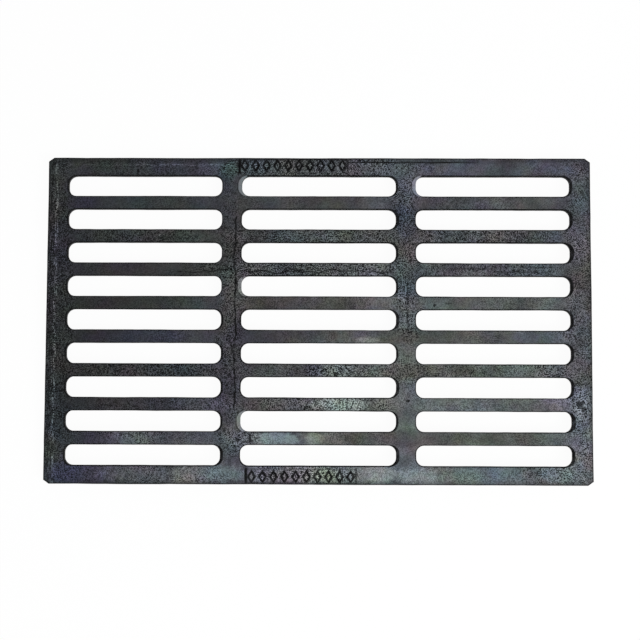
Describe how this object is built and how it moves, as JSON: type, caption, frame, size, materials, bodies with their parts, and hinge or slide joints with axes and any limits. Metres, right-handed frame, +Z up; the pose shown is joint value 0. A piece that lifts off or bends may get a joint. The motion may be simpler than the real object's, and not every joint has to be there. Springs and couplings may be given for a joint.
{
  "type": "gully grate",
  "caption": "Rectangular cast iron gully grate with long round-cornered drain slots in columns, ribs below its bars and a skirt that rests on a frame's ledge.",
  "frame": {"origin": "centre of the seating plane, below the middle of the plate", "axes": "+X along the slots, the plate's long side; +Y across the slots; +Z up, out of the deck"},
  "size_m": [0.75, 0.45, 0.03],
  "materials": {
    "cast_iron": "sand-cast skin, dull black and slightly sheened, with dusty grey patches"
  },
  "bodies": {
    "root": {"grate": "cast_iron"}
  },
  "joints": []
}
